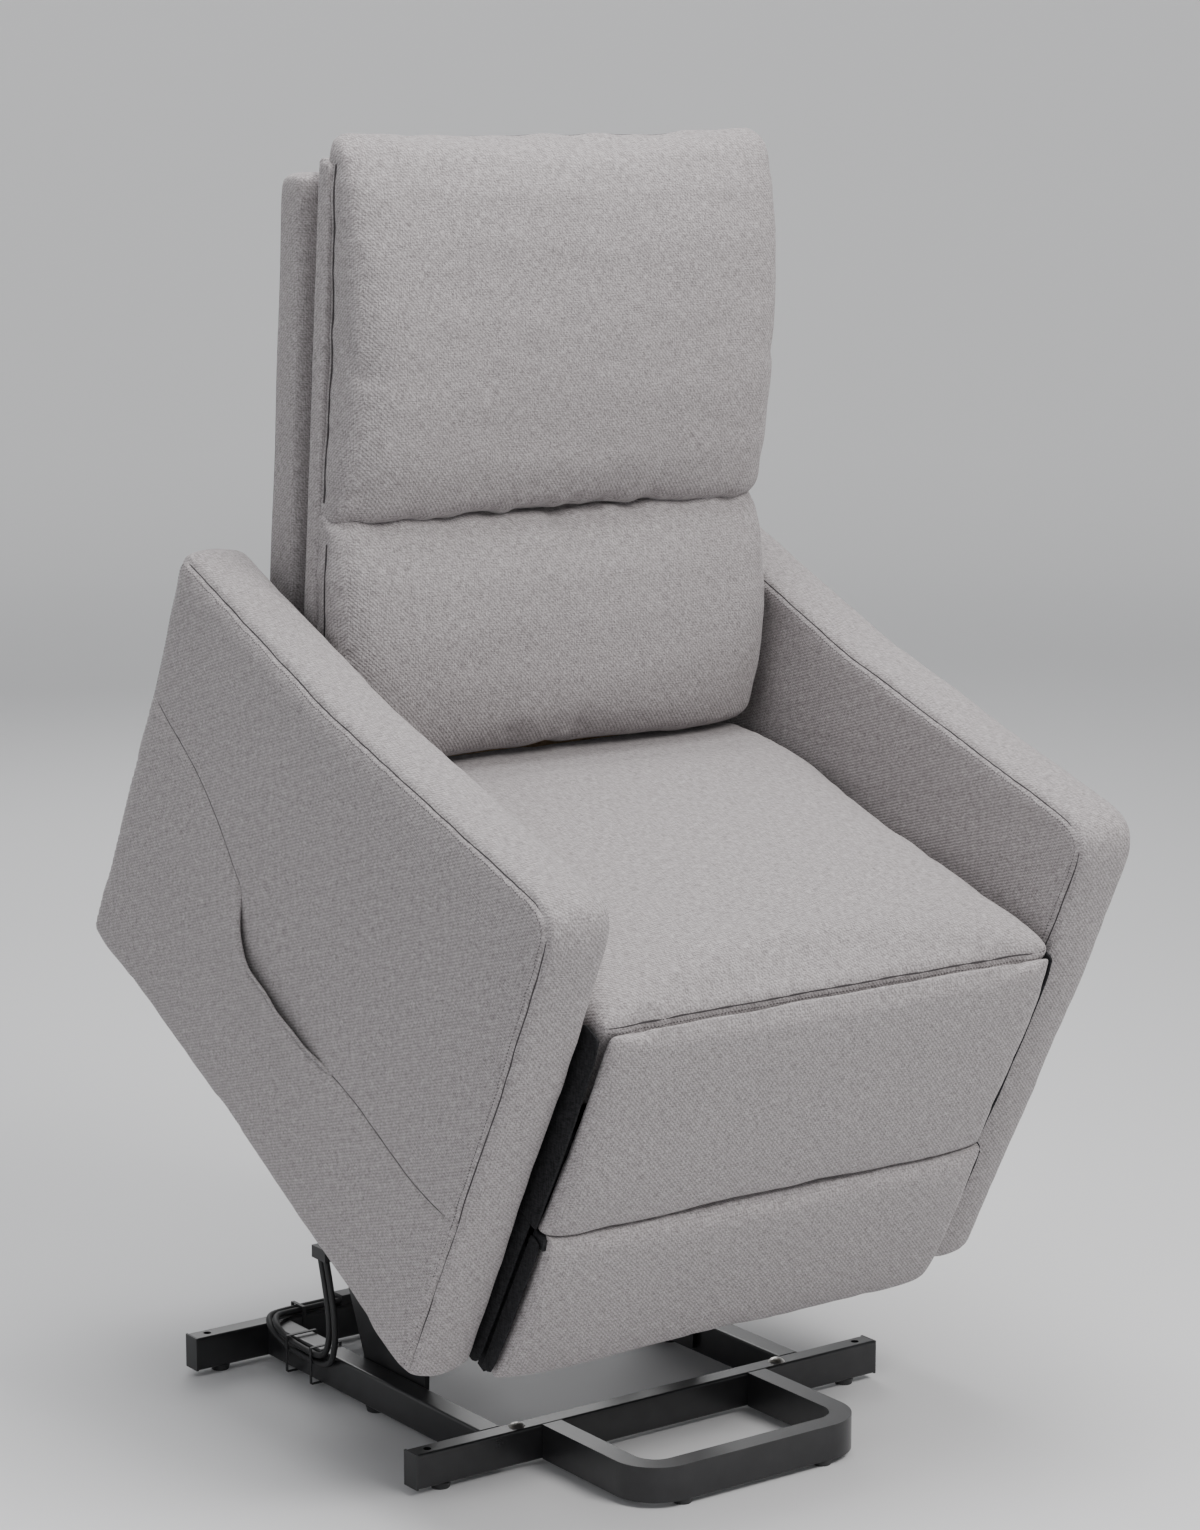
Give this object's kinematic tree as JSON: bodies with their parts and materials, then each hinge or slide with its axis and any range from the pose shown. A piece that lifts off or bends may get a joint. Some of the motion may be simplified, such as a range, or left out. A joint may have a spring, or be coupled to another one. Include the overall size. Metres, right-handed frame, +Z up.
{
  "type": "lift recliner chair",
  "caption": "Upholstered power lift recliner on a black steel base, raised and tilted forward, with side pockets, folded footrest and reclining back.",
  "frame": {"origin": "floor level, centre of the footprint of the whole chair in its raised pose", "axes": "+Z up; the chair faces -Y; +X is the sitter's left"},
  "size_m": [0.756, 0.8987, 1.3817],
  "materials": {
    "frame_paint": "semi-gloss black powder coat",
    "pivot_steel": "zinc plated",
    "black_plastic": "matt black",
    "lead_rubber": "matt black sheath",
    "motor_tube": "anodised",
    "motor_shaft": "polished",
    "frame_wood": "raw plywood",
    "black_lining": "black dust cloth over the boards",
    "upholstery": "heathered warm grey weave",
    "handset_shell": "matt black",
    "button_grey": "matt grey"
  },
  "bodies": {
    "base": {"base_rail_right": "frame_paint", "base_rail_left": "frame_paint", "base_front_bar": "frame_paint", "base_rear_bar": "frame_paint", "base_front_loop": "frame_paint", "base_end_caps": "black_plastic", "base_glides": "black_plastic", "base_bolts": "pivot_steel", "lift_upright_right": "frame_paint", "lift_upright_left": "frame_paint", "lift_motor_mount": "frame_paint", "base_pivot_pins": "pivot_steel", "motor_lead_outer": "lead_rubber", "motor_lead_inner": "lead_rubber", "lead_plugs": "black_plastic", "cable_ties": "black_plastic"},
    "lift_arms": {"lift_arms": "frame_paint"},
    "lift_stays": {"lift_stays": "frame_paint"},
    "lift_motor": {"lift_motor_housing": "black_plastic", "lift_motor_tube": "motor_tube"},
    "lift_rod": {"lift_motor_rod": "motor_shaft"},
    "chair": {"lower_rails": "frame_paint", "chair_cross_tubes": "frame_paint", "drive_tube": "frame_paint", "side_plate_right": "frame_paint", "side_plate_left": "frame_paint", "lift_brackets": "frame_paint", "chair_pivot_pins": "pivot_steel", "recline_motor_mount": "frame_paint", "arm_boards": "frame_wood", "arm_pad_right": "upholstery", "arm_pad_left": "upholstery", "side_pocket_right": "upholstery", "side_pocket_left": "upholstery", "seat_frame": "black_lining", "seat_front_panel": "upholstery", "seat_cushion": "upholstery", "seat_springs": "pivot_steel", "rear_valance": "upholstery", "control_box": "black_plastic"},
    "back": {"back_frame": "frame_wood", "back_panel": "upholstery", "back_brackets": "frame_paint", "back_cushion_lower": "upholstery", "back_cushion_upper": "upholstery"},
    "recline_motor": {"recline_motor_housing": "black_plastic", "recline_motor_tube": "motor_tube"},
    "recline_rod": {"recline_motor_rod": "motor_shaft"},
    "footrest_rear_links": {"footrest_rear_link_right": "frame_paint", "footrest_rear_link_left": "frame_paint", "footrest_torque_tube": "frame_paint"},
    "footrest_front_links": {"footrest_front_links": "frame_paint"},
    "footrest_control_links": {"footrest_control_links": "frame_paint"},
    "footrest_board": {"footrest_pad": "upholstery", "footrest_board": "black_lining", "footrest_brackets": "frame_paint"},
    "handset": {"handset": "handset_shell"},
    "raise_button": {"raise_button": "button_grey"},
    "lower_button": {"lower_button": "button_grey"}
  },
  "joints": [
    {"name": "lift", "type": "hinge", "parent": "base", "child": "lift_arms", "pos_m": [0, 0.216, 0.187], "axis": [1, 0, 0], "range_deg": [0, 43.57]},
    {"name": "chair_tilt", "type": "hinge", "parent": "lift_arms", "child": "chair", "pos_m": [0, -0.0159, 0.32757], "axis": [1, 0, 0], "range_deg": [-72.19, 0]},
    {"name": "lift_stay_swing", "type": "hinge", "parent": "base", "child": "lift_stays", "pos_m": [0, 0.07, 0.212], "axis": [1, 0, 0], "range_deg": [0, 55.5]},
    {"name": "lift_motor_swing", "type": "hinge", "parent": "base", "child": "lift_motor", "pos_m": [0, 0.322, 0.074], "axis": [1, 0, 0], "range_deg": [0, 19.26]},
    {"name": "lift_motor_stroke", "type": "slide", "parent": "lift_motor", "child": "lift_rod", "axis": [0, -0.6746, 0.7382], "range_m": [-0.15402, 0]},
    {"name": "back_recline", "type": "hinge", "parent": "chair", "child": "back", "pos_m": [0, 0.1844, 0.69532], "axis": [-1, 0, 0], "range_deg": [0, 46]},
    {"name": "footrest", "type": "hinge", "parent": "chair", "child": "footrest_rear_links", "pos_m": [0, -0.18437, 0.36897], "axis": [-1, 0, 0], "range_deg": [0, 120]},
    {"name": "footrest_front_swing", "type": "hinge", "parent": "footrest_rear_links", "child": "footrest_front_links", "pos_m": [0, -0.03756, 0.27936], "axis": [-1, 0, 0], "range_deg": [-111.64, 0]},
    {"name": "footrest_board_swing", "type": "hinge", "parent": "footrest_front_links", "child": "footrest_board", "pos_m": [0, -0.22334, 0.25661], "axis": [-1, 0, 0], "range_deg": [0, 81.64]},
    {"name": "footrest_control_swing", "type": "hinge", "parent": "footrest_rear_links", "child": "footrest_control_links", "pos_m": [0, -0.04757, 0.30523], "axis": [-1, 0, 0], "range_deg": [-115.51, 0]},
    {"name": "recline_motor_swing", "type": "hinge", "parent": "chair", "child": "recline_motor", "pos_m": [0, 0.31447, 0.56122], "axis": [1, 0, 0], "range_deg": [0, 0.8144]},
    {"name": "recline_motor_stroke", "type": "slide", "parent": "recline_motor", "child": "recline_rod", "axis": [0, -0.9183, -0.3958], "range_m": [0, 0.08639]},
    {"name": "handset_lift", "type": "slide", "parent": "chair", "child": "handset", "axis": [0, -0.4787, 0.878], "range_m": [0, 0.12]},
    {"name": "raise_button_press", "type": "slide", "parent": "handset", "child": "raise_button", "axis": [-1, 0, 0], "range_m": [0, 0.0015], "stiffness_N_per_m": 400, "springref_m": -0.0015},
    {"name": "lower_button_press", "type": "slide", "parent": "handset", "child": "lower_button", "axis": [-1, 0, 0], "range_m": [0, 0.0015], "stiffness_N_per_m": 400, "springref_m": -0.0015}
  ],
  "couplings": [
    {"joint": "chair_tilt", "follows": "lift", "ratio": -1.6564},
    {"joint": "lift_stay_swing", "follows": "lift", "ratio": 1.2732},
    {"joint": "lift_motor_swing", "follows": "lift", "ratio": 0.44159},
    {"joint": "lift_motor_stroke", "follows": "lift", "m_per_rad": -0.2024},
    {"joint": "footrest_front_swing", "follows": "footrest", "ratio": -0.93015},
    {"joint": "footrest_board_swing", "follows": "footrest", "ratio": 0.68015},
    {"joint": "footrest_control_swing", "follows": "footrest", "ratio": -0.96243},
    {"joint": "recline_motor_swing", "follows": "footrest", "ratio": 0.00662},
    {"joint": "recline_motor_stroke", "follows": "footrest", "m_per_rad": 0.0412}
  ]
}
